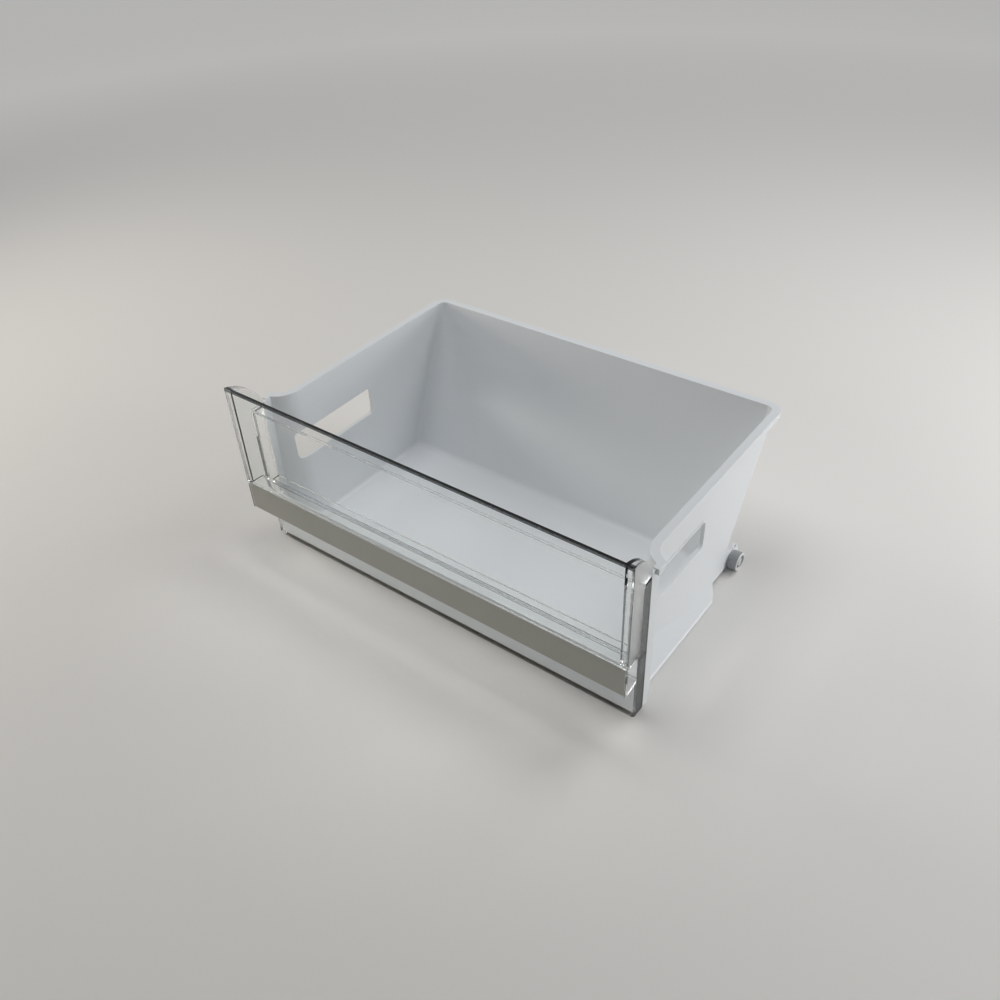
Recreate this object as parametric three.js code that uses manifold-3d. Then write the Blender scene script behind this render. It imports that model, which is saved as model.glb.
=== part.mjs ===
import * as THREE from 'three';
import { mergeVertices } from 'three/addons/utils/BufferGeometryUtils.js';
import Module from 'manifold-3d';

// Lowest drawer of an upright freezer: a white tub with a sloped back, a clear two-part front
// with a finger pull under a trim strip, and two rollers that carry its rear end.
// Millimetres. X runs across the drawer, Y runs back from the front face of the clear frame,
// and Z runs up from the surface that the drawer stands on.

const wasm = await Module();
wasm.setup();

// Shared sizes
const frontWidth = 450;
const seatGap = 0.3;
const overrun = 4;

// Tub: inner faces of the walls at the floor and at the rim
const tubWall = 2.5;
const floorTop = 9;
const rimTop = 166.5;
const shoulderAtFloor = 24;
const shoulderAtRim = 19;
const depthAtFloor = 206;
const depthAtRim = 278.5;
const wallCornerRadius = 8;
const floorFillet = 5;

// Tub: front collar and the flared shoulders behind it
const collarDepth = 7.7;
const flareRadius = 28;
const collarCornerRadius = 5;
const collarLift = 0.3;

// Tub: low front wall on a nose that plugs into the clear frame
const noseDepth = 9.2;
const noseTop = 52;

// Tub: rolled rim
const rimReach = 8;
const rimLipHeight = 6.5;
const rimOverhang = 3;
const rimSetback = 5;

// Tub: hand holds in the side walls
const holdLead = 15;
const holdLength = 110;
const holdDrop = 46.5;
const holdHeight = 32;
const holdCornerRadius = 5;
const holdLipWidth = 2.2;
const holdLipHeight = 1.2;

// Tub: runner skirts along the bottom of the side walls
const runnerReach = 10;
const runnerWall = 2;
const runnerHeight = 54;
const runnerKnee = 6;
const runnerBead = 1.2;
const runnerStart = 6;
const runnerTail = 35;
const runnerNose = 10;
const runnerNoseRise = 8;
const runnerNoseSlope = 6;
const runnerRibPitch = 36;
const runnerRibFoot = 2;

// Tub: ribs under the floor
const floorRibHeight = 4;
const crossRibHeight = 3;
const floorRibWidth = 2;
const floorRibInset = 34;
const floorRibShares = [-0.5, 0, 0.5];
const crossRibShares = [0.2, 0.5, 0.8];

// Roller ears at the tub's rear corners
const rollerRadius = 10;
const axleOverhang = 21;
const earThickness = 2.5;
const earRadius = 16;
const earFoot = 5;
const earRoot = 36;
const cheekInset = 15.5;
const cheekRadius = 9;
const cheekRoot = 10;
const bossRadius = 5.8;
const earHoleRadius = 1.9;
const earHoleReach = 13.2;
const earHoleAngle = 52;
const earRingReach = 13;
const earRingAngle = 88;
const earRingRadius = 1.3;

// Rollers and their axle pins
const rollerWidth = 10.5;
const rollerGap = 0.5;
const rollerChamfer = 0.7;
const rollerRimWall = 2.3;
const rollerHubRadius = 4.8;
const rollerPocketDepth = 5;
const rollerPocketMargin = 0.4;
const rollerHubStep = 1.6;
const rollerSpokes = 4;
const rollerSpokeWidth = 1.7;
const axleRadius = 3;
const axleHeadRadius = 4.3;
const axleHeadHeight = 1;
const axleHeadChamfer = 0.4;
const axleBarb = 0.6;
const axleTipLength = 2;
const axleTipTaper = 1.8;
const axleSlotWidth = 1.2;
const axleSlotLength = 9;

// Clear frame that closes the tub's collar
const frameDepth = 12;
const frameWall = 3.5;
const framePlate = 2.5;
const frameDrop = 3.2;
const frameOpeningBottom = 75;
const frameOpeningRadius = 3;

// Clear window: a free-standing pane between two hollow end columns, on a finger channel
const windowReach = 24;
const windowWall = 3;
const windowEndWall = 2.5;
const windowOverhangAtGrip = 2.5;
const windowOverhangAtTop = 3.5;
const windowRise = 32.5;
const columnInset = 5.5;
const archTurn = 70;
const archFoot = 1.4;
const gripBottom = 53;
const channelHeight = 30.5;
const channelRadius = 6;
const channelWall = 2.5;
const clipSlotDrop = 3.3;
const clipSlotLength = 29;
const clipSlotDepth = 2;

// Trim strip on the grip
const trimHeight = 32.4;
const trimThickness = 1.2;
const trimMargin = 1.5;
const trimEdgeRadius = 0.5;

// How finely the curves are divided
const flareSteps = 8;
const cornerSteps = 5;
const filletSteps = 4;
const archSteps = 12;
const wheelSteps = 48;
const pinSteps = 24;

// Places that several parts share
const collarFront = frameDepth + seatGap;
const flareStart = collarFront + collarDepth + flareRadius;
const collarHalf = frontWidth / 2;
const innerCollarHalf = collarHalf - tubWall;
const floorHalf = collarHalf - shoulderAtFloor;
const rimHalf = collarHalf - shoulderAtRim;
const floorUnderside = floorTop - tubWall;
const wallBase = floorHalf + tubWall;
const runnerFace = wallBase + runnerReach;
const runnerEnd = depthAtFloor - runnerTail;
const boreRadius = axleRadius + seatGap;
const axleDepth = depthAtFloor + axleOverhang;
const frameTop = rimTop - frameDrop;
const frameOpeningTop = frameTop - frameWall;
const windowFront = -windowReach;
const paneTop = rimTop + windowRise;

const whitePlastic = new THREE.MeshStandardMaterial({ color: 0xe8ecf0, roughness: 0.32, metalness: 0 });
const wheelPlastic = new THREE.MeshStandardMaterial({ color: 0xe4e5e3, roughness: 0.5, metalness: 0 });
const pinPlastic = new THREE.MeshStandardMaterial({ color: 0xc9cdd0, roughness: 0.45, metalness: 0 });
const trimPlastic = new THREE.MeshStandardMaterial({ color: 0x837e77, roughness: 0.55, metalness: 0.1 });
const clearPlastic = new THREE.MeshStandardMaterial({
  color: 0xdde6e6,
  roughness: 0.06,
  metalness: 0,
  transparent: true,
  opacity: 0.35,
});

// Solids from three.js geometry
function toSolid(geometry) {
  const plain = geometry.index ? geometry.clone() : geometry;
  plain.deleteAttribute('normal');
  plain.deleteAttribute('uv');
  const merged = mergeVertices(plain);
  return new wasm.Manifold(new wasm.Mesh({
    numProp: 3,
    vertProperties: new Float32Array(merged.attributes.position.array),
    triVerts: new Uint32Array(merged.index.array),
  }));
}

function toMesh(name, solid, material) {
  const result = solid.getMesh();
  const geometry = new THREE.BufferGeometry();
  geometry.setAttribute('position', new THREE.BufferAttribute(result.vertProperties, 3));
  geometry.setIndex(new THREE.BufferAttribute(result.triVerts, 1));
  geometry.computeVertexNormals();
  const mesh = new THREE.Mesh(geometry, material);
  mesh.name = name;
  return mesh;
}

function union(solids) {
  return solids.reduce((whole, solid) => whole.add(solid));
}

// Extrusions of an outline along each axis
function extrude(points, holes, length) {
  const shape = new THREE.Shape(points.map(([u, v]) => new THREE.Vector2(u, v)));
  shape.holes = holes.map((hole) => new THREE.Path(hole.map(([u, v]) => new THREE.Vector2(u, v))));
  return new THREE.ExtrudeGeometry(shape, { depth: length, bevelEnabled: false });
}

const alongX = new THREE.Matrix4().makeBasis(
  new THREE.Vector3(0, 1, 0),
  new THREE.Vector3(0, 0, 1),
  new THREE.Vector3(1, 0, 0),
);

const alongY = new THREE.Matrix4().makeBasis(
  new THREE.Vector3(1, 0, 0),
  new THREE.Vector3(0, 0, 1),
  new THREE.Vector3(0, -1, 0),
);

function extrudeX(pointsYZ, fromX, toX, holes = []) {
  const geometry = extrude(pointsYZ, holes, toX - fromX);
  return toSolid(geometry.applyMatrix4(alongX).translate(fromX, 0, 0));
}

function extrudeY(pointsXZ, fromY, toY, holes = []) {
  const geometry = extrude(pointsXZ, holes, toY - fromY);
  return toSolid(geometry.applyMatrix4(alongY).translate(0, toY, 0));
}

function block(fromX, toX, fromY, toY, fromZ, toZ) {
  const geometry = new THREE.BoxGeometry(toX - fromX, toY - fromY, toZ - fromZ);
  return toSolid(geometry.translate((fromX + toX) / 2, (fromY + toY) / 2, (fromZ + toZ) / 2));
}

// The same block on one side of the drawer: side is 1 on the right and -1 on the left
function sideSpan(side, inner, outer) {
  return side > 0 ? [inner, outer] : [-outer, -inner];
}

// Points of an arc, with angles in radians
function arc(centreU, centreV, radius, from, to, steps) {
  const points = [];
  for (let i = 0; i <= steps; i += 1) {
    const angle = from + ((to - from) * i) / steps;
    points.push([centreU + radius * Math.cos(angle), centreV + radius * Math.sin(angle)]);
  }
  return points;
}

function roundedRectangle(lowU, lowV, highU, highV, radius) {
  const quarter = Math.PI / 2;
  return [
    ...arc(highU - radius, lowV + radius, radius, -quarter, 0, cornerSteps),
    ...arc(highU - radius, highV - radius, radius, 0, quarter, cornerSteps),
    ...arc(lowU + radius, highV - radius, radius, quarter, 2 * quarter, cornerSteps),
    ...arc(lowU + radius, lowV + radius, radius, 2 * quarter, 3 * quarter, cornerSteps),
  ];
}

// A solid skinned over plan outlines that all have the same number of points
function loft(rings) {
  const count = rings[0].outline.length;
  const positions = [];
  const triangles = [];
  rings.forEach((ring) => ring.outline.forEach(([x, y]) => positions.push(x, y, ring.height)));
  for (let level = 0; level < rings.length - 1; level += 1) {
    for (let i = 0; i < count; i += 1) {
      const here = level * count + i;
      const next = level * count + ((i + 1) % count);
      triangles.push(here, next, next + count);
      triangles.push(here, next + count, here + count);
    }
  }
  const cap = (ring) => THREE.ShapeUtils.triangulateShape(
    ring.outline.map(([x, y]) => new THREE.Vector2(x, y)),
    [],
  );
  const topStart = (rings.length - 1) * count;
  cap(rings[0]).forEach(([a, b, c]) => triangles.push(c, b, a));
  cap(rings[rings.length - 1]).forEach(([a, b, c]) => {
    triangles.push(topStart + a, topStart + b, topStart + c);
  });
  const geometry = new THREE.BufferGeometry();
  geometry.setAttribute('position', new THREE.Float32BufferAttribute(positions, 3));
  geometry.setIndex(triangles);
  return toSolid(geometry);
}

// The tub's plan at one height: straight sides that flare out to the front collar
function planOutline(half, rear, offset, rearOffset, sideLimit, front) {
  const corner = wallCornerRadius + offset;
  const flare = flareRadius - offset;
  const flareCentre = half + flareRadius;
  const sweep = Math.acos((flareCentre - sideLimit) / flare);
  const right = [[sideLimit, front]];
  arc(0, 0, flare, sweep, 0, flareSteps).forEach(([u, v]) => {
    right.push([flareCentre - u, flareStart - v]);
  });
  const cornerX = half + offset - corner;
  const cornerY = rear + rearOffset - corner;
  right.push(...arc(cornerX, cornerY, corner, 0, Math.PI / 2, cornerSteps));
  const left = right.map(([x, y]) => [-x, y]).reverse();
  return right.concat(left);
}

function wallShare(height) {
  return (height - floorTop) / (rimTop - floorTop);
}

function wallHalfAt(height) {
  return floorHalf + (rimHalf - floorHalf) * wallShare(height);
}

function wallRearAt(height) {
  return depthAtFloor + (depthAtRim - depthAtFloor) * wallShare(height);
}

// How far a normal offset of the sloped rear wall reaches along Y
const rearRise = rimTop - floorTop;
const rearStretch = Math.hypot(rearRise, depthAtRim - depthAtFloor) / rearRise;

function wallRing(height, offset, sideLimit, front) {
  const outline = planOutline(
    wallHalfAt(height),
    wallRearAt(height),
    offset,
    offset * rearStretch,
    sideLimit,
    front,
  );
  return { outline, height };
}

// Walls with a rounded foot: inset 0 gives the inner faces, and the wall thickness the outer ones
function wallLoft(offset, front, top) {
  const base = floorTop - offset;
  const radius = floorFillet + offset;
  const rings = [];
  for (let i = 0; i <= filletSteps; i += 1) {
    const angle = (Math.PI / 2) * (i / filletSteps);
    const inset = radius * (1 - Math.sin(angle));
    const height = base + radius * (1 - Math.cos(angle));
    rings.push(wallRing(height, offset - inset, innerCollarHalf + offset - inset, front));
  }
  rings.push(wallRing(top, offset, innerCollarHalf + offset, front));
  return loft(rings);
}

// The collar's outline in the plane of the frame, with rounded corners like the frame's
function collarOutline(offset) {
  const half = innerCollarHalf + offset;
  const foot = collarLift + tubWall - offset;
  const radius = collarCornerRadius - tubWall + offset;
  return roundedRectangle(-half, foot, half, rimTop, radius);
}

// The collar hangs below the floor as an open skirt
function makeCollarSkirt() {
  const rear = collarFront + collarDepth;
  const span = innerCollarHalf + tubWall;
  return extrudeY(collarOutline(tubWall), collarFront, rear)
    .subtract(extrudeY(collarOutline(0), collarFront - overrun, rear + overrun))
    .intersect(block(-span, span, collarFront, rear, 0, floorTop + floorFillet));
}

// A low front wall with side cheeks and a floor, joined to the collar by a web
function makeNose() {
  const rear = collarFront + tubWall;
  const front = collarFront - noseDepth;
  const low = frameWall + seatGap;
  const half = collarHalf - frameWall - seatGap;
  const inner = half - tubWall;
  const cornerRadius = collarCornerRadius - frameWall - seatGap;
  const outline = roundedRectangle(-half, low, half, noseTop + 2 * cornerRadius, cornerRadius);
  const web = extrudeY(collarOutline(tubWall / 2), collarFront, rear);
  const above = block(-inner, inner, front + tubWall, rear + overrun, floorTop, rimTop + overrun);
  const below = block(-inner, inner, front + tubWall, collarFront, 0, floorUnderside);
  const over = block(-collarHalf, collarHalf, 0, rear + overrun, noseTop, rimTop + overrun);
  return extrudeY(outline, front, rear).add(web).subtract(above).subtract(below).subtract(over);
}

function rimPrism(offset, front, bottom, top) {
  const sideLimit = collarHalf + rimOverhang - rimReach + offset;
  const outline = planOutline(rimHalf, depthAtRim, offset, offset, sideLimit, front);
  return loft([
    { outline, height: bottom },
    { outline, height: top },
  ]);
}

function makeRim() {
  const front = collarFront + rimSetback;
  const body = rimPrism(rimReach, front, rimTop - rimLipHeight, rimTop);
  const foot = rimTop - rimLipHeight - overrun;
  const hollow = rimPrism(rimReach - tubWall, front - overrun, foot, rimTop - tubWall);
  return body.subtract(hollow);
}

// A hollow skirt that flares out from the side wall and slides on the cabinet's runner, with a
// bead along its foot
function makeRunner(side) {
  const high = wallHalfAt(runnerHeight) + tubWall / 2;
  const sheet = [
    [high, runnerHeight],
    [runnerFace, runnerKnee],
    [runnerFace, 3 * runnerBead],
    [runnerFace + runnerBead, 2 * runnerBead],
    [runnerFace + runnerBead, runnerBead],
    [runnerFace, 0],
    [runnerFace - runnerWall, 0],
    [runnerFace - runnerWall, runnerKnee],
    [high, runnerHeight - 4 * runnerWall],
  ];
  const rib = [
    [high, runnerHeight - 2 * runnerWall],
    [runnerFace - runnerWall / 2, runnerKnee],
    [runnerFace - runnerWall / 2, runnerRibFoot],
    [wallBase, runnerRibFoot],
    [floorHalf, floorTop],
  ];
  const place = (points) => points.map(([x, z]) => [side * x, z]);
  const start = collarFront + collarDepth + runnerStart;
  const pieces = [extrudeY(place(sheet), start, runnerEnd)];
  for (let y = flareStart; y < runnerEnd - runnerNose - runnerWall; y += runnerRibPitch) {
    pieces.push(extrudeY(place(rib), y, y + runnerWall));
  }
  pieces.push(extrudeY(place(rib), runnerEnd - runnerNose, runnerEnd));
  const slope = [
    [runnerEnd - runnerNoseSlope, 0],
    [runnerEnd, runnerNoseRise],
    [runnerEnd + overrun, runnerNoseRise],
    [runnerEnd + overrun, -overrun],
    [runnerEnd - runnerNoseSlope, -overrun],
  ];
  const [from, to] = sideSpan(side, floorHalf, runnerFace + overrun);
  return union(pieces).subtract(extrudeX(slope, from, to));
}

// A raised lip round the hand hold, and the hole through it
function holdOutline(grow) {
  const front = flareStart - holdLead;
  const top = rimTop - holdDrop;
  return roundedRectangle(
    front - grow,
    top - holdHeight - grow,
    front + holdLength + grow,
    top + grow,
    holdCornerRadius + grow,
  );
}

function makeHoldLip(side) {
  const face = wallHalfAt(rimTop - holdDrop - holdHeight / 2) + tubWall;
  const [from, to] = sideSpan(side, face - 2 * tubWall, face + holdLipHeight);
  return extrudeX(holdOutline(holdLipWidth), from, to);
}

function makeHoldHole(side) {
  const [from, to] = sideSpan(side, floorHalf - overrun, collarHalf + overrun);
  return extrudeX(holdOutline(0), from, to);
}

// Ribs that stiffen the floor from below
function makeFloorRibs() {
  const high = floorTop - tubWall / 2;
  const half = floorHalf - floorRibInset;
  const from = collarFront + collarDepth + floorRibInset;
  const to = depthAtFloor - floorFillet - tubWall;
  const lengthways = floorRibShares.map((share) => {
    const x = share * floorHalf;
    const low = floorUnderside - floorRibHeight;
    return block(x - floorRibWidth / 2, x + floorRibWidth / 2, from, to, low, high);
  });
  const crossways = crossRibShares.map((share) => {
    const y = from + share * (to - from);
    const low = floorUnderside - crossRibHeight;
    return block(-half, half, y - floorRibWidth / 2, y + floorRibWidth / 2, low, high);
  });
  return union([...lengthways, ...crossways]);
}

// A plate that runs back from the tub and is rounded about the axle
function earOutline(radius, rootLength) {
  const start = Math.asin((earFoot - rollerRadius) / radius);
  const root = depthAtFloor - rootLength;
  return [
    [root, earFoot],
    ...arc(axleDepth, rollerRadius, radius, start, Math.PI * 0.6, cornerSteps * 2),
    [axleDepth - radius, rollerRadius + radius * 1.3],
    [root, rollerRadius + radius],
  ];
}

function earFace() {
  return wallBase;
}

function makeEar(side) {
  const face = earFace();
  const [plateFrom, plateTo] = sideSpan(side, face - earThickness, face);
  const [cheekFrom, cheekTo] = sideSpan(side, face - cheekInset, face - cheekInset + earThickness);
  const [bossFrom, bossTo] = sideSpan(side, face - cheekInset, face);
  const boss = arc(axleDepth, rollerRadius, bossRadius, 0, 2 * Math.PI, pinSteps).slice(1);
  return union([
    extrudeX(earOutline(earRadius, earRoot), plateFrom, plateTo),
    extrudeX(earOutline(cheekRadius, cheekRoot), cheekFrom, cheekTo),
    extrudeX(boss, bossFrom, bossTo),
  ]);
}

// The axle's bore and the two small holes above the roller
function makeEarHoles(side) {
  const face = earFace();
  const [from, to] = sideSpan(side, face - cheekInset - overrun, face + overrun);
  const [holeFrom, holeTo] = sideSpan(side, face - 2 * earThickness, face + overrun);
  const ring = (reach, angle, radius) => {
    const radians = THREE.MathUtils.degToRad(angle);
    const y = axleDepth + reach * Math.cos(radians);
    const z = rollerRadius + reach * Math.sin(radians);
    return arc(y, z, radius, 0, 2 * Math.PI, pinSteps / 2).slice(1);
  };
  return union([
    extrudeX(arc(axleDepth, rollerRadius, boreRadius, 0, 2 * Math.PI, pinSteps).slice(1), from, to),
    extrudeX(ring(earHoleReach, earHoleAngle, earHoleRadius), holeFrom, holeTo),
    extrudeX(ring(earRingReach, earRingAngle, earRingRadius), holeFrom, holeTo),
  ]);
}

function makeTub() {
  const sides = [1, -1];
  const added = union([
    wallLoft(tubWall, collarFront, rimTop - tubWall / 2),
    makeCollarSkirt(),
    makeRim(),
    makeFloorRibs(),
    ...sides.map(makeRunner),
    ...sides.map(makeHoldLip),
    ...sides.map(makeEar),
  ]);
  const inside = wallLoft(0, 0, rimTop + overrun);
  const holes = union([...sides.map(makeHoldHole), ...sides.map(makeEarHoles)]);
  return added.subtract(inside).add(makeNose()).subtract(holes);
}

// The window is a little wider than the frame in front, and most of all at the top
function windowHalfAt(depth, height, inset) {
  const share = (height - gripBottom) / (paneTop - gripBottom);
  const overhang = windowOverhangAtGrip + (windowOverhangAtTop - windowOverhangAtGrip) * share;
  const drawIn = (depth - windowFront) / (frameDepth - windowFront);
  return collarHalf + overhang * (1 - drawIn) - inset;
}

function taperedPrism(profile, inset) {
  const geometry = extrude(profile, [], 2).applyMatrix4(alongX).translate(-1, 0, 0);
  const position = geometry.attributes.position;
  for (let i = 0; i < position.count; i += 1) {
    const half = windowHalfAt(position.getY(i), position.getZ(i), inset);
    position.setX(i, position.getX(i) * half);
  }
  return toSolid(geometry);
}

const windowRear = -seatGap;
const channelFront = windowFront + windowWall;
const channelRear = windowRear - channelWall;
const channelTop = gripBottom + channelHeight;
const channelSpring = channelTop - channelRadius;
const columnSeat = frameTop + seatGap;
const columnWallFace = collarHalf - columnInset;

// The columns' arched top runs from the pane's top edge back and down to the frame's rear edge
const archRear = columnSeat + archFoot;
const archHalfTurn = THREE.MathUtils.degToRad(archTurn) / 2;
const archChord = Math.hypot(frameDepth - windowFront, paneTop - archRear);
const archRadius = archChord / 2 / Math.sin(archHalfTurn);
const archLean = Math.atan2(frameDepth - windowFront, paneTop - archRear);
const archReach = archRadius * Math.cos(archHalfTurn);
const archCentreY = (windowFront + frameDepth) / 2 - archReach * Math.cos(archLean);
const archCentreZ = (paneTop + archRear) / 2 - archReach * Math.sin(archLean);

// The finger channel: open below, with a roof that is rounded in front and behind
function channelProfile() {
  const frontCentre = channelFront + channelRadius;
  const rearCentre = channelRear - channelRadius;
  const quarter = Math.PI / 2;
  return [
    [channelFront, gripBottom - overrun],
    [channelRear, gripBottom - overrun],
    ...arc(rearCentre, channelSpring, channelRadius, 0, quarter, cornerSteps),
    ...arc(frontCentre, channelSpring, channelRadius, quarter, 2 * quarter, cornerSteps),
  ];
}

// The channel's roof from above, drawn from the pane to the rear
function channelRoof() {
  const centre = channelRear - channelRadius;
  const radius = channelRadius + channelWall;
  return [
    [channelFront, channelTop + channelWall],
    ...arc(centre, channelSpring, radius, Math.PI / 2, 0, cornerSteps),
  ];
}

// The hollow of an end column, open to the rear
function columnHollow() {
  const radius = archRadius - windowEndWall;
  const frontAngle = Math.acos((channelFront - archCentreY) / radius);
  return [
    ...channelRoof(),
    [archCentreY + radius, channelSpring],
    ...arc(archCentreY, archCentreZ, radius, 0, frontAngle, archSteps),
  ];
}

// The open space behind the pane, between the columns
function paneRoom() {
  return [
    ...channelRoof(),
    [frameDepth + overrun, channelSpring],
    [frameDepth + overrun, paneTop + overrun],
    [channelFront, paneTop + overrun],
  ];
}

function windowProfile() {
  const start = archLean - archHalfTurn;
  return [
    [windowFront, gripBottom],
    [windowRear, gripBottom],
    [windowRear, columnSeat],
    [frameDepth, columnSeat],
    ...arc(archCentreY, archCentreZ, archRadius, start, archLean + archHalfTurn, archSteps),
  ];
}

function makeWindow() {
  const half = collarHalf + windowOverhangAtTop + overrun;
  const wall = columnWallFace + windowEndWall;
  const trimHalf = windowHalfAt(windowFront, gripBottom, trimMargin);
  const recessRear = windowFront + trimThickness + seatGap;
  const recessTop = gripBottom + trimHeight + 2 * seatGap;
  const recessFoot = gripBottom - overrun;
  const recess = block(-trimHalf, trimHalf, windowFront - overrun, recessRear, recessFoot, recessTop);
  const slotTop = frameTop - clipSlotDrop;
  const slotFront = windowRear - clipSlotDepth;
  const slots = [1, -1].map((side) => {
    const [from, to] = sideSpan(side, wall, half);
    return block(from, to, slotFront, windowRear + overrun, slotTop - clipSlotLength, slotTop);
  });
  const hollows = [1, -1].map((side) => {
    const [from, to] = sideSpan(side, wall, half);
    return block(from, to, channelFront, frameDepth + overrun, gripBottom, paneTop);
  });
  return taperedPrism(windowProfile(), 0)
    .subtract(extrudeX(paneRoom(), -columnWallFace, columnWallFace))
    .subtract(taperedPrism(columnHollow(), windowEndWall).intersect(union(hollows)))
    .subtract(taperedPrism(channelProfile(), windowEndWall))
    .subtract(recess)
    .subtract(union(slots));
}

// Frame: a ring with a deep edge and a lower panel
function frameOutline(inset) {
  const half = collarHalf - inset;
  return roundedRectangle(-half, inset, half, frameTop - inset, collarCornerRadius - inset);
}

function makeFrame() {
  const openingHalf = collarHalf - frameWall;
  const lipHalf = collarHalf - frameWall / 2;
  const edge = extrudeY(frameOutline(0), 0, frameDepth)
    .subtract(extrudeY(frameOutline(frameWall), -overrun, frameDepth + overrun));
  const lipBottom = frameOpeningBottom - framePlate;
  const lip = block(-lipHalf, lipHalf, 0, frameDepth, lipBottom, frameOpeningBottom);
  const opening = extrudeY(
    roundedRectangle(
      -openingHalf,
      frameOpeningBottom,
      openingHalf,
      frameOpeningTop,
      frameOpeningRadius,
    ),
    -overrun,
    framePlate + overrun,
  );
  return extrudeY(frameOutline(0), 0, framePlate)
    .subtract(opening)
    .add(edge)
    .add(lip);
}

// Trim strip: a flat bar with eased front edges, let into the grip
function makeTrim() {
  const rear = windowFront + trimThickness;
  const low = gripBottom + seatGap;
  const high = low + trimHeight;
  const half = windowHalfAt(windowFront, gripBottom, trimMargin) - seatGap;
  const profile = [
    [rear, low],
    [rear, high],
    [windowFront + trimEdgeRadius, high],
    [windowFront, high - trimEdgeRadius],
    [windowFront, low + trimEdgeRadius],
    [windowFront + trimEdgeRadius, low],
  ];
  return extrudeX(profile, -half, half);
}

// A turned solid on the roller's axis: the profile holds radius and distance from the ear's face
function turned(profile, steps, side) {
  const points = profile.map(([radius, distance]) => new THREE.Vector2(radius, distance));
  const geometry = new THREE.LatheGeometry(points, steps);
  geometry.rotateZ((-side * Math.PI) / 2);
  geometry.translate(side * earFace(), axleDepth, rollerRadius);
  return toSolid(geometry);
}

function rollerPocket(index) {
  const inner = rollerHubRadius;
  const outer = rollerRadius - rollerRimWall - rollerPocketMargin;
  const pitch = (2 * Math.PI) / rollerSpokes;
  const start = index * pitch + pitch / 4;
  const atInner = Math.asin(rollerSpokeWidth / 2 / inner);
  const atOuter = Math.asin(rollerSpokeWidth / 2 / outer);
  return [
    ...arc(axleDepth, rollerRadius, outer, start + atOuter, start + pitch - atOuter, cornerSteps),
    ...arc(axleDepth, rollerRadius, inner, start + pitch - atInner, start + atInner, cornerSteps),
  ];
}

function makeRoller(side) {
  const inner = rollerGap;
  const outer = rollerGap + rollerWidth;
  const hubFace = outer - rollerHubStep;
  const blank = turned([
    [boreRadius, inner],
    [rollerRadius - rollerChamfer, inner],
    [rollerRadius, inner + rollerChamfer],
    [rollerRadius, outer - rollerChamfer],
    [rollerRadius - rollerChamfer, outer],
    [rollerRadius - rollerRimWall, outer],
    [rollerRadius - rollerRimWall, hubFace],
    [boreRadius, hubFace],
    [boreRadius, inner],
  ], wheelSteps, side);
  const face = earFace();
  const [from, to] = sideSpan(side, face + outer - rollerPocketDepth, face + outer + overrun);
  const pockets = [];
  for (let index = 0; index < rollerSpokes; index += 1) {
    pockets.push(extrudeX(rollerPocket(index), from, to));
  }
  return blank.subtract(union(pockets));
}

// Axle pin: a head outside the roller's hub and a split, barbed end behind the inner cheek
function makeAxle(side) {
  const headStart = rollerGap + rollerWidth - rollerHubStep + seatGap;
  const headEnd = headStart + axleHeadHeight;
  const shoulder = -cheekInset - seatGap;
  const tip = shoulder - axleTipLength;
  const pin = turned([
    [0, tip],
    [axleRadius + axleBarb - axleTipTaper, tip],
    [axleRadius + axleBarb, shoulder - axleBarb],
    [axleRadius, shoulder],
    [axleRadius, headStart],
    [axleHeadRadius, headStart],
    [axleHeadRadius, headEnd - axleHeadChamfer],
    [axleHeadRadius - axleHeadChamfer, headEnd],
    [0, headEnd],
  ], pinSteps, side);
  const face = earFace();
  const [from, to] = sideSpan(side, face + tip - overrun, face + tip + axleSlotLength);
  const slot = block(
    from,
    to,
    axleDepth - axleSlotWidth / 2,
    axleDepth + axleSlotWidth / 2,
    rollerRadius - axleRadius - overrun,
    rollerRadius + axleRadius + overrun,
  );
  return pin.subtract(slot);
}

const drawer = new THREE.Group();
drawer.add(
  toMesh('tub', makeTub(), whitePlastic),
  toMesh('front_frame', makeFrame(), clearPlastic),
  toMesh('front_window', makeWindow(), clearPlastic),
  toMesh('handle_trim', makeTrim(), trimPlastic),
  toMesh('roller_right', makeRoller(1), wheelPlastic),
  toMesh('roller_left', makeRoller(-1), wheelPlastic),
  toMesh('axle_pin_right', makeAxle(1), pinPlastic),
  toMesh('axle_pin_left', makeAxle(-1), pinPlastic),
);

// The origin is at the bottom centre of the whole drawer
drawer.position.y = -(windowFront + depthAtRim + rimReach) / 2;

export default drawer;
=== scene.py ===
import math
import bpy
from mathutils import Matrix, Vector


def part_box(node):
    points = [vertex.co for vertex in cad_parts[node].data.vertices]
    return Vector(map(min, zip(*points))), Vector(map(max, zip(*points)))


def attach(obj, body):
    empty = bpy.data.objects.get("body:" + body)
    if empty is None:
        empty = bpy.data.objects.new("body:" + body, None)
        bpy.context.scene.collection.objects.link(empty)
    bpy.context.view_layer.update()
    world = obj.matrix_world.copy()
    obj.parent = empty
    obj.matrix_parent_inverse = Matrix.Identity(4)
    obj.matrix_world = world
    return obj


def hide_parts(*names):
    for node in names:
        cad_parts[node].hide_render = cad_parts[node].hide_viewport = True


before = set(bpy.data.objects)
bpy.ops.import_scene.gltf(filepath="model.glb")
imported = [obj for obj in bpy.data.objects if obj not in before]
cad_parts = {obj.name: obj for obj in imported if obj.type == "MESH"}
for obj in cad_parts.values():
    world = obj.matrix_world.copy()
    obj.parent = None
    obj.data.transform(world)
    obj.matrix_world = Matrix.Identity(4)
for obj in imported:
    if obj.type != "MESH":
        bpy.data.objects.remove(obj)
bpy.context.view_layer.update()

scene = bpy.context.scene
scene.view_settings.view_transform = "Standard"

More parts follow.
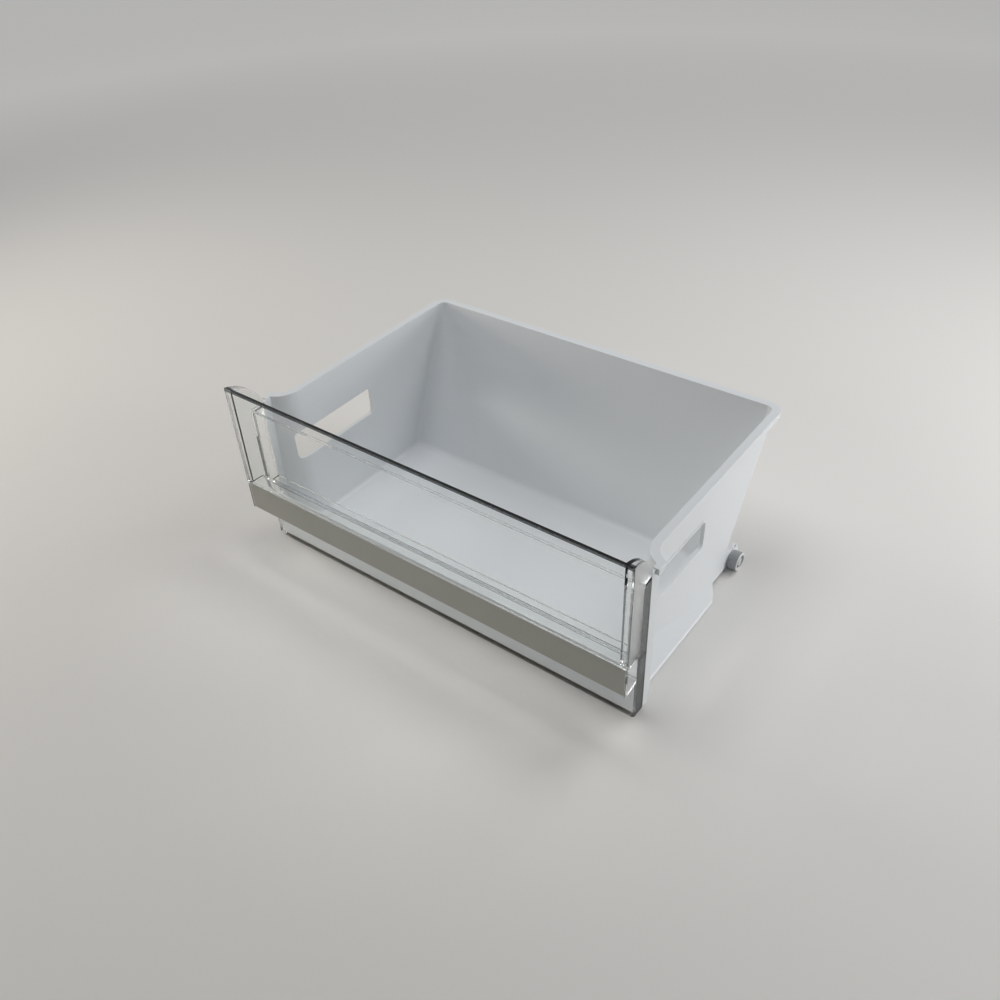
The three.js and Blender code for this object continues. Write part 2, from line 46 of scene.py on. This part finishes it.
# Camera: a slightly wide lens, about a metre away, looks down from above the drawer's right front
# corner, and is rolled a little, so that the clear front runs down across the picture.
camera_azimuth = math.radians(38.57)
camera_elevation = math.radians(38.53)
camera_roll = math.radians(-2.94)
camera_distance = 1.05104
camera_target = Vector((-0.03369, 0.01875, 0.0318))
camera_lens = 34.9
camera_film = 36
camera_data = bpy.data.cameras.new("photo_camera")
camera_data.lens = camera_lens
camera_data.sensor_width = camera_film
camera = bpy.data.objects.new("photo_camera", camera_data)
scene.collection.objects.link(camera)
scene.camera = camera
camera_back = Vector((
    math.sin(camera_azimuth) * math.cos(camera_elevation),
    -math.cos(camera_azimuth) * math.cos(camera_elevation),
    math.sin(camera_elevation),
))
level_right = Vector((math.cos(camera_azimuth), math.sin(camera_azimuth), 0))
level_up = camera_back.cross(level_right)
camera_right = level_right * math.cos(camera_roll) + level_up * math.sin(camera_roll)
camera_up = level_up * math.cos(camera_roll) - level_right * math.sin(camera_roll)
camera_axes = Matrix((camera_right, camera_up, camera_back)).transposed().to_4x4()
camera_place = Matrix.Translation(camera_target + camera_back * camera_distance)
camera.matrix_world = camera_place @ camera_axes

# Tub: one injection moulding in white polypropylene, glossy, with edges eased by the mould.
# Its solid has the whole shape, so a copy of it gets the small edge rounds and the finish.
tub_edge = 0.0005
tub_white = (0.8, 0.825, 0.845, 1)
tub_shade = (0.795, 0.82, 0.84, 1)
tub_gloss = (0.3, 0.31)
tub_shine = 0.28
tub_patches = 3
tub_grain = (260, 0.000012)
plastic_ior = 1.5
patch_detail = 3
grain_detail = 2
merge_distance = 0.000005
flat_angle = math.radians(0.3)
edge_angle = math.radians(40)
edge_steps = 2


def deselect():
    bpy.ops.object.select_all(action="DESELECT")


def cad_copy(node, name, materials):
    deselect()
    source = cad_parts[node]
    piece = source.copy()
    piece.data = source.data.copy()
    piece.name = name
    piece.data.materials.clear()
    for material in materials:
        piece.data.materials.append(material)
    scene.collection.objects.link(piece)
    bpy.context.view_layer.objects.active = piece
    piece.select_set(True)
    bpy.ops.object.mode_set(mode="EDIT")
    bpy.ops.mesh.select_all(action="SELECT")
    bpy.ops.mesh.remove_doubles(threshold=merge_distance)
    bpy.ops.mesh.dissolve_limited(angle_limit=flat_angle)
    bpy.ops.object.mode_set(mode="OBJECT")
    return piece


def ease_edges(piece, edge):
    deselect()
    bpy.context.view_layer.objects.active = piece
    piece.select_set(True)
    rounds = piece.modifiers.new("rounds", "BEVEL")
    rounds.width = edge
    rounds.segments = edge_steps
    rounds.limit_method = "ANGLE"
    rounds.angle_limit = edge_angle
    rounds.material = len(piece.data.materials) - 1
    bpy.ops.object.modifier_apply(modifier="rounds")
    bpy.ops.object.shade_smooth_by_angle(angle=edge_angle)
    flats = piece.modifiers.new("flats", "WEIGHTED_NORMAL")
    flats.keep_sharp = True
    bpy.ops.object.modifier_apply(modifier="flats")


def moulded_plastic(name, light, dark, gloss, patch_scale, grain):
    grain_scale, grain_depth = grain
    material = bpy.data.materials.new(name)
    material.use_nodes = True
    nodes, links = material.node_tree.nodes, material.node_tree.links
    shader = nodes["Principled BSDF"]
    shader.inputs["IOR"].default_value = plastic_ior
    place = nodes.new("ShaderNodeTexCoord")
    patches = nodes.new("ShaderNodeTexNoise")
    patches.inputs["Scale"].default_value = patch_scale
    patches.inputs["Detail"].default_value = patch_detail
    tint = nodes.new("ShaderNodeMix")
    tint.data_type = "RGBA"
    tint.inputs["A"].default_value = light
    tint.inputs["B"].default_value = dark
    polish = nodes.new("ShaderNodeMapRange")
    polish.inputs["To Min"].default_value = gloss[0]
    polish.inputs["To Max"].default_value = gloss[1]
    specks = nodes.new("ShaderNodeTexNoise")
    specks.inputs["Scale"].default_value = grain_scale
    specks.inputs["Detail"].default_value = grain_detail
    relief = nodes.new("ShaderNodeBump")
    relief.inputs["Strength"].default_value = 1
    relief.inputs["Distance"].default_value = grain_depth
    links.new(place.outputs["Object"], patches.inputs["Vector"])
    links.new(place.outputs["Object"], specks.inputs["Vector"])
    links.new(patches.outputs["Fac"], tint.inputs["Factor"])
    links.new(patches.outputs["Fac"], polish.inputs["Value"])
    links.new(tint.outputs["Result"], shader.inputs["Base Color"])
    links.new(polish.outputs["Result"], shader.inputs["Roughness"])
    links.new(specks.outputs["Fac"], relief.inputs["Height"])
    links.new(relief.outputs["Normal"], shader.inputs["Normal"])
    return material


tub_plastic = moulded_plastic(
    "tub_plastic", tub_white, tub_shade, tub_gloss, tub_patches, tub_grain
)
tub_shader = tub_plastic.node_tree.nodes["Principled BSDF"]
tub_shader.inputs["Specular IOR Level"].default_value = tub_shine
tub = cad_copy("tub", "tub_shell", [tub_plastic])
ease_edges(tub, tub_edge)
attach(tub, "drawer")
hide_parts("tub")

# Front frame: a clear polystyrene moulding, a tray-shaped ring with a deep polished edge. It is
# pushed over the tub's nose, whose low front wall shows through its panel. Light that runs along
# inside the plastic doesn't come out at its edges, so its rounds and sides look dark. That
# darkness
# is painted shade: the rounds and the right-hand side get a dark tint, and the rounds also get
# painted light towards the left.
frame_edge = 0.0006
clear_tint = (0.99, 0.996, 0.994, 1)
clear_haze = (0.975, 0.985, 0.982, 1)
clear_polish = (0.004, 0.012)
clear_patches = 14
clear_ripple = (9, 0.00001)
clear_ior = 1.3
clear_shine = 0.3
edge_shine = 0.1
body_shade = 0.07
edge_shade = 0.4
# Painted shade: a near-black tint on the clear rounds and lines.
painted_edge_shade = (0.015, 0.018, 0.02, 1)
painted_edge_shade_haze = (0.025, 0.03, 0.032, 1)
# Painted light: the frame's rounds are blended towards this lighter tint on the left.
frame_edge_painted_light = (0.11, 0.115, 0.12, 1)
painted_light_span = (-0.225, 0.05)
# Painted shade: a dark tint on the frame's right-hand side.
frame_side_painted_shade = (0.03, 0.033, 0.035, 1)
frame_side_painted_shade_haze = (0.045, 0.048, 0.05, 1)
frame_side_facing = 0.7
frame_side_depth = 0.001


def clear_plastic(name, light, dark, polish, shine, shade):
    material = moulded_plastic(name, light, dark, polish, clear_patches, clear_ripple)
    nodes, links = material.node_tree.nodes, material.node_tree.links
    shader = nodes["Principled BSDF"]
    shader.inputs["Transmission Weight"].default_value = 1
    shader.inputs["IOR"].default_value = clear_ior
    shader.inputs["Specular IOR Level"].default_value = shine
    ray = nodes.new("ShaderNodeLightPath")
    held_back = nodes.new("ShaderNodeMapRange")
    held_back.inputs["To Min"].default_value = 1
    held_back.inputs["To Max"].default_value = shade
    links.new(ray.outputs["Is Shadow Ray"], held_back.inputs["Value"])
    links.new(held_back.outputs["Result"], shader.inputs["Alpha"])
    return material


def painted_shade_plastic(name, light, dark):
    return clear_plastic(name, light, dark, clear_polish, edge_shine, edge_shade)


# Paints light: blends a material's colour towards a lighter tint on the left of the piece.
def paint_light_on_the_left(material, tint, span):
    nodes, links = material.node_tree.nodes, material.node_tree.links
    colour = nodes["Principled BSDF"].inputs["Base Color"]
    place = nodes.new("ShaderNodeTexCoord")
    parts = nodes.new("ShaderNodeSeparateXYZ")
    share = nodes.new("ShaderNodeMapRange")
    share.inputs["From Min"].default_value = span[0]
    share.inputs["From Max"].default_value = span[1]
    painted_light_mix = nodes.new("ShaderNodeMix")
    painted_light_mix.data_type = "RGBA"
    painted_light_mix.inputs["A"].default_value = tint
    links.new(place.outputs["Object"], parts.inputs["Vector"])
    links.new(parts.outputs["X"], share.inputs["Value"])
    links.new(share.outputs["Result"], painted_light_mix.inputs["Factor"])
    links.new(colour.links[0].from_socket, painted_light_mix.inputs["B"])
    links.new(painted_light_mix.outputs["Result"], colour)


def mark_faces(piece, slot, wanted):
    for face in piece.data.polygons:
        if wanted(face.center, face.normal):
            face.material_index = slot


# Picks the faces on the frame's right-hand side that get the painted shade.
def on_frame_side_painted_shade(centre, normal):
    return normal.x > frame_side_facing and centre.x > frame_high[0] - frame_side_depth


clear_body = clear_plastic(
    "clear_plastic", clear_tint, clear_haze, clear_polish, clear_shine, body_shade
)
painted_frame_side = painted_shade_plastic("frame_sides_painted_shade", frame_side_painted_shade, frame_side_painted_shade_haze)
frame_rounds_painted_shade_and_light = painted_shade_plastic("frame_edges_painted_shade_and_light", painted_edge_shade, painted_edge_shade_haze)
paint_light_on_the_left(frame_rounds_painted_shade_and_light, frame_edge_painted_light, painted_light_span)
frame_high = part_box("front_frame")[1]
front_frame = cad_copy("front_frame", "frame_shell", [clear_body, painted_frame_side, frame_rounds_painted_shade_and_light])
mark_faces(front_frame, 1, on_frame_side_painted_shade)
ease_edges(front_frame, frame_edge)
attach(front_frame, "drawer")
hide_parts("front_frame")

# Front window: the second clear moulding, clipped in front of the frame. A free-standing pane
# with a polished top edge stands between two hollow, arch-topped columns over the finger channel.
# The outer sides of the columns are satin. The pane's top edge, the lines under and behind it, a
# line along the frame and the rounds are given dark tints as painted shade. The rounds also get
# painted light towards the left.
window_edge = 0.0007
pane_bar = 0.0017
pane_line = 0.0015
pane_thickness = 0.0032
# Painted shade: a dark tint on the pane's top edge.
bar_painted_shade = (0.2, 0.215, 0.22, 1)
bar_painted_shade_haze = (0.24, 0.255, 0.26, 1)
# Painted light: the window's rounds are blended towards this lighter tint on the left.
window_edge_painted_light = (0.5, 0.52, 0.52, 1)
satin_tint = (0.88, 0.89, 0.89, 1)
satin_haze = (0.85, 0.86, 0.86, 1)
satin_polish = (0.32, 0.4)
satin_shine = 0.05
square_on = 0.9
upward = 0.1
rearward = 0.1
column_side_depth = 0.0035
column_side_foot = 0.087
flange_line_front = -0.1331
flange_line_top = 0.15
clip_slot_front = -0.1337
clip_slot_foot = 0.1305
clip_slot_inside = 0.223
window_low, window_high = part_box("front_window")
bar_top = window_high[2]


def on_pane_edge(centre, depth):
    return centre.z > bar_top - depth and centre.y < window_low[1] + pane_thickness


def on_outer_side(centre, normal):
    faces_out = abs(normal.x) > square_on and centre.x * normal.x > 0
    return faces_out and abs(centre.x) > window_high[0] - column_side_depth


def in_clip_slot(centre, normal):
    above_foot = centre.z > clip_slot_foot and abs(centre.x) > clip_slot_inside
    return above_foot and centre.y > clip_slot_front and normal.y > square_on


def under_the_pane_edge(centre, normal):
    return on_pane_edge(centre, pane_bar + pane_line)


def on_bar(centre, normal):
    return on_pane_edge(centre, pane_bar)


def on_satin_side(centre, normal):
    on_column = on_outer_side(centre, normal) and centre.z > column_side_foot
    return on_column or in_clip_slot(centre, normal)


def on_flange_line(centre, normal):
    by_the_frame = centre.y > flange_line_front and centre.z < flange_line_top
    return on_outer_side(centre, normal) and by_the_frame


def on_bar_top(centre, normal):
    return on_bar(centre, normal) and normal.z > upward


def on_bar_rear(centre, normal):
    return on_bar_top(centre, normal) and normal.y > rearward


# The bar, the line and the rounds below are painted shade; the rounds also get painted light on
# the left.
window_bar_painted_shade = painted_shade_plastic("window_bar_painted_shade", bar_painted_shade, bar_painted_shade_haze)
window_line_painted_shade = painted_shade_plastic("window_line_painted_shade", painted_edge_shade, painted_edge_shade_haze)
window_satin = clear_plastic(
    "window_sides", satin_tint, satin_haze, satin_polish, satin_shine, body_shade
)
window_rounds_painted_shade_and_light = painted_shade_plastic("window_edges_painted_shade_and_light", painted_edge_shade, painted_edge_shade_haze)
paint_light_on_the_left(window_rounds_painted_shade_and_light, window_edge_painted_light, painted_light_span)
window_plastics = [clear_body, window_bar_painted_shade, window_line_painted_shade, window_satin, window_rounds_painted_shade_and_light]
window = cad_copy("front_window", "window_shell", window_plastics)
bpy.ops.object.mode_set(mode="EDIT")
for height in (bar_top - pane_bar, bar_top - (pane_bar + pane_line), column_side_foot):
    bpy.ops.mesh.select_all(action="SELECT")
    bpy.ops.mesh.bisect(plane_co=(0, 0, height), plane_no=(0, 0, 1))
bpy.ops.mesh.select_all(action="SELECT")
bpy.ops.mesh.bisect(plane_co=(0, flange_line_front, 0), plane_no=(0, 1, 0))
bpy.ops.object.mode_set(mode="OBJECT")
# Painted shade: a near-black line under the pane's top edge.
mark_faces(window, 2, under_the_pane_edge)
mark_faces(window, 1, on_bar)
mark_faces(window, 3, on_satin_side)
# Painted shade: a near-black line along the frame on each column's outer side.
mark_faces(window, 2, on_flange_line)
ease_edges(window, window_edge)
# After the rounds, the bar's top is painted shade again and its rear top gets a painted shade
# line.
mark_faces(window, 1, on_bar_top)
mark_faces(window, 2, on_bar_rear)
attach(window, "drawer")
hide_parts("front_window")

# Trim strip: a flat bar in satin taupe plastic, moulded on its own and pressed into the recess
# across the grip, where it lies flush with the window's face.
trim_edge = 0.0003
trim_taupe = (0.46, 0.462, 0.415, 1)
trim_dark = (0.44, 0.442, 0.395, 1)
trim_gloss = (0.38, 0.5)
trim_patches = 30
trim_grain = (900, 0.00002)
trim_plastic = moulded_plastic(
    "trim_plastic", trim_taupe, trim_dark, trim_gloss, trim_patches, trim_grain
)
trim = cad_copy("handle_trim", "trim_strip", [trim_plastic])
ease_edges(trim, trim_edge)
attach(trim, "drawer")
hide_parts("handle_trim")

# Rollers: one small spoked wheel at each rear corner, moulded in tough off-white acetal.
# The tread is a darker grey, and the pockets are painted near black as painted shade in the
# hollows.
roller_edge = 0.0002
roller_white = (0.8, 0.81, 0.8, 1)
roller_shade = (0.72, 0.73, 0.72, 1)
roller_gloss = (0.38, 0.5)
roller_patches = 60
roller_grain = (1200, 0.00002)
tread_grey = (0.4, 0.41, 0.42, 1)
tread_dark = (0.3, 0.31, 0.32, 1)
tread_gloss = (0.5, 0.62)
# Painted shade: near-black hollows in the roller's pockets.
pocket_painted_shade = (0.14, 0.145, 0.15, 1)
pocket_painted_shade_dark = (0.1, 0.105, 0.11, 1)
pocket_gloss = (0.6, 0.7)
tread_and_pocket_patches = 160
tread_and_pocket_grain = (1500, 0.00003)
tread_radius = 0.0094
tread_tilt = 0.5
pocket_reach = 0.0079
pocket_depth = 0.003
roller_plastic = moulded_plastic(
    "roller_plastic", roller_white, roller_shade, roller_gloss, roller_patches, roller_grain
)
roller_tread = moulded_plastic(
    "roller_tread", tread_grey, tread_dark, tread_gloss, tread_and_pocket_patches, tread_and_pocket_grain
)
roller_pocket_painted_shade = moulded_plastic(
    "roller_pocket_painted_shade", pocket_painted_shade, pocket_painted_shade_dark, pocket_gloss, tread_and_pocket_patches, tread_and_pocket_grain
)
roller_plastics = [roller_plastic, roller_pocket_painted_shade, roller_tread]
for side in ("left", "right"):
    roller = cad_copy("roller_" + side, "roller_wheel_" + side, roller_plastics)
    roller_low, roller_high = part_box("roller_" + side)
    axle_y = (roller_low[1] + roller_high[1]) / 2
    axle_z = (roller_low[2] + roller_high[2]) / 2
    outer_x = max(abs(roller_low[0]), abs(roller_high[0]))

    def reach(centre):
        return math.hypot(centre.y - axle_y, centre.z - axle_z)

    def in_pocket(centre, normal):
        return reach(centre) < pocket_reach and abs(centre.x) < outer_x - pocket_depth

    def on_tread(centre, normal):
        return reach(centre) > tread_radius and abs(normal.x) < tread_tilt

    # Painted shade in the pockets; the tread is a darker grey.
    mark_faces(roller, 1, in_pocket)
    mark_faces(roller, 2, on_tread)
    ease_edges(roller, roller_edge)
    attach(roller, side + "_roller")
    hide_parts("roller_" + side)

# Axle pins: grey plastic pins that the rollers turn on. Each has a flat head outside the roller
# and a split, barbed end that snaps in behind the ear's inner cheek.
pin_edge = 0.00015
pin_grey = (0.6, 0.62, 0.64, 1)
pin_shade = (0.52, 0.54, 0.56, 1)
pin_gloss = (0.4, 0.52)
pin_patches = 90
pin_grain = (1500, 0.00002)
pin_plastic = moulded_plastic(
    "pin_plastic", pin_grey, pin_shade, pin_gloss, pin_patches, pin_grain
)
for side in ("left", "right"):
    pin = cad_copy("axle_pin_" + side, "pin_" + side, [pin_plastic])
    ease_edges(pin, pin_edge)
    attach(pin, "drawer")
    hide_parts("axle_pin_" + side)

# Paper: a wide pale sheet under the drawer. Far from the drawer, where the lamps don't reach,
# it shows a pale tone of its own to the camera and in the clear plastic.
paper_size = 8
paper_light = (0.845, 0.83, 0.808, 1)
paper_warm = (0.83, 0.81, 0.78, 1)
paper_gloss = (0.6, 0.7)
paper_patches = 1.3
paper_grain = (300, 0.00003)
paper_far = (1, 0.985, 0.965, 1)
paper_near_reach = 0.45
paper_far_reach = 2.2
paper_far_glow = 0.31


def seen_or_mirrored(nodes, links):
    ray = nodes.new("ShaderNodeLightPath")
    seen = nodes.new("ShaderNodeMath")
    seen.operation = "MAXIMUM"
    either = nodes.new("ShaderNodeMath")
    either.operation = "MAXIMUM"
    links.new(ray.outputs["Is Camera Ray"], seen.inputs[0])
    links.new(ray.outputs["Is Transmission Ray"], seen.inputs[1])
    links.new(seen.outputs["Value"], either.inputs[0])
    links.new(ray.outputs["Is Glossy Ray"], either.inputs[1])
    return either.outputs["Value"]


deselect()
bpy.ops.mesh.primitive_plane_add(size=paper_size, location=(0, 0, 0))
paper = bpy.context.object
paper.name = "paper"
paper_sheet = moulded_plastic(
    "paper", paper_light, paper_warm, paper_gloss, paper_patches, paper_grain
)
paper_nodes, paper_links = paper_sheet.node_tree.nodes, paper_sheet.node_tree.links
paper_shader = paper_nodes["Principled BSDF"]
paper_shader.inputs["Emission Color"].default_value = paper_far
paper_place = paper_nodes.new("ShaderNodeTexCoord")
paper_reach = paper_nodes.new("ShaderNodeVectorMath")
paper_reach.operation = "LENGTH"
paper_fade = paper_nodes.new("ShaderNodeMapRange")
paper_fade.inputs["From Min"].default_value = paper_near_reach
paper_fade.inputs["From Max"].default_value = paper_far_reach
paper_fade.inputs["To Max"].default_value = paper_far_glow
glow = paper_nodes.new("ShaderNodeMath")
glow.operation = "MULTIPLY"
paper_links.new(paper_place.outputs["Object"], paper_reach.inputs[0])
paper_links.new(paper_reach.outputs["Value"], paper_fade.inputs["Value"])
paper_links.new(paper_fade.outputs["Result"], glow.inputs[0])
paper_links.new(seen_or_mirrored(paper_nodes, paper_links), glow.inputs[1])
paper_links.new(glow.outputs["Value"], paper_shader.inputs["Emission Strength"])
paper.data.materials.append(paper_sheet)

# Studio light: a softbox overhead, a stronger one above the rear, and three small ones at the
# left, low at the right rear and low at the left in front.
daylight = (1, 1, 1)
warm = (1, 0.93, 0.82)


def softbox(name, place, aim, width, height, power, colour):
    data = bpy.data.lights.new(name, "AREA")
    data.shape = "RECTANGLE"
    data.size = width
    data.size_y = height
    data.energy = power
    data.color = colour
    lamp = bpy.data.objects.new(name, data)
    scene.collection.objects.link(lamp)
    lamp.location = place
    lamp.rotation_mode = "QUATERNION"
    lamp.rotation_quaternion = (Vector(aim) - Vector(place)).to_track_quat("-Z", "Y")


softbox(
    "overhead_softbox",
    place=(-0.22, 0.05, 1.3),
    aim=(0, 0.05, 0),
    width=0.7,
    height=0.6,
    power=4.3,
    colour=daylight,
)
softbox(
    "back_softbox",
    place=(0.5, 0.85, 1.15),
    aim=(0, 0.05, 0),
    width=0.7,
    height=0.6,
    power=6,
    colour=daylight,
)
softbox(
    "left_softbox",
    place=(-1.2, 0, 0.75),
    aim=(0, 0.05, 0.1),
    width=0.3,
    height=0.3,
    power=2,
    colour=warm,
)
softbox(
    "right_softbox",
    place=(1.15, 0.62, 0.22),
    aim=(0.2, 0.15, 0.12),
    width=0.45,
    height=0.28,
    power=5.6,
    colour=daylight,
)
softbox(
    "front_softbox",
    place=(-1.05, -0.8, 0.28),
    aim=(0, -0.15, 0.05),
    width=0.5,
    height=0.2,
    power=2.3,
    colour=warm,
)

# Room: a dim bluish white all round, so that the clear edges look dark. The camera, the clear
# plastic and the glossy surfaces see it in a paler tone.
room_colour = (0.93, 0.965, 1, 1)
room_light = 0.13
room_seen = 0.42
room = bpy.data.worlds.new("room")
scene.world = room
room.use_nodes = True
room_nodes, room_links = room.node_tree.nodes, room.node_tree.links
room_glow = room_nodes["Background"]
room_glow.inputs["Color"].default_value = room_colour
room_strength = room_nodes.new("ShaderNodeMapRange")
room_strength.inputs["To Min"].default_value = room_light
room_strength.inputs["To Max"].default_value = room_seen
room_links.new(seen_or_mirrored(room_nodes, room_links), room_strength.inputs["Value"])
room_links.new(room_strength.outputs["Result"], room_glow.inputs["Strength"])
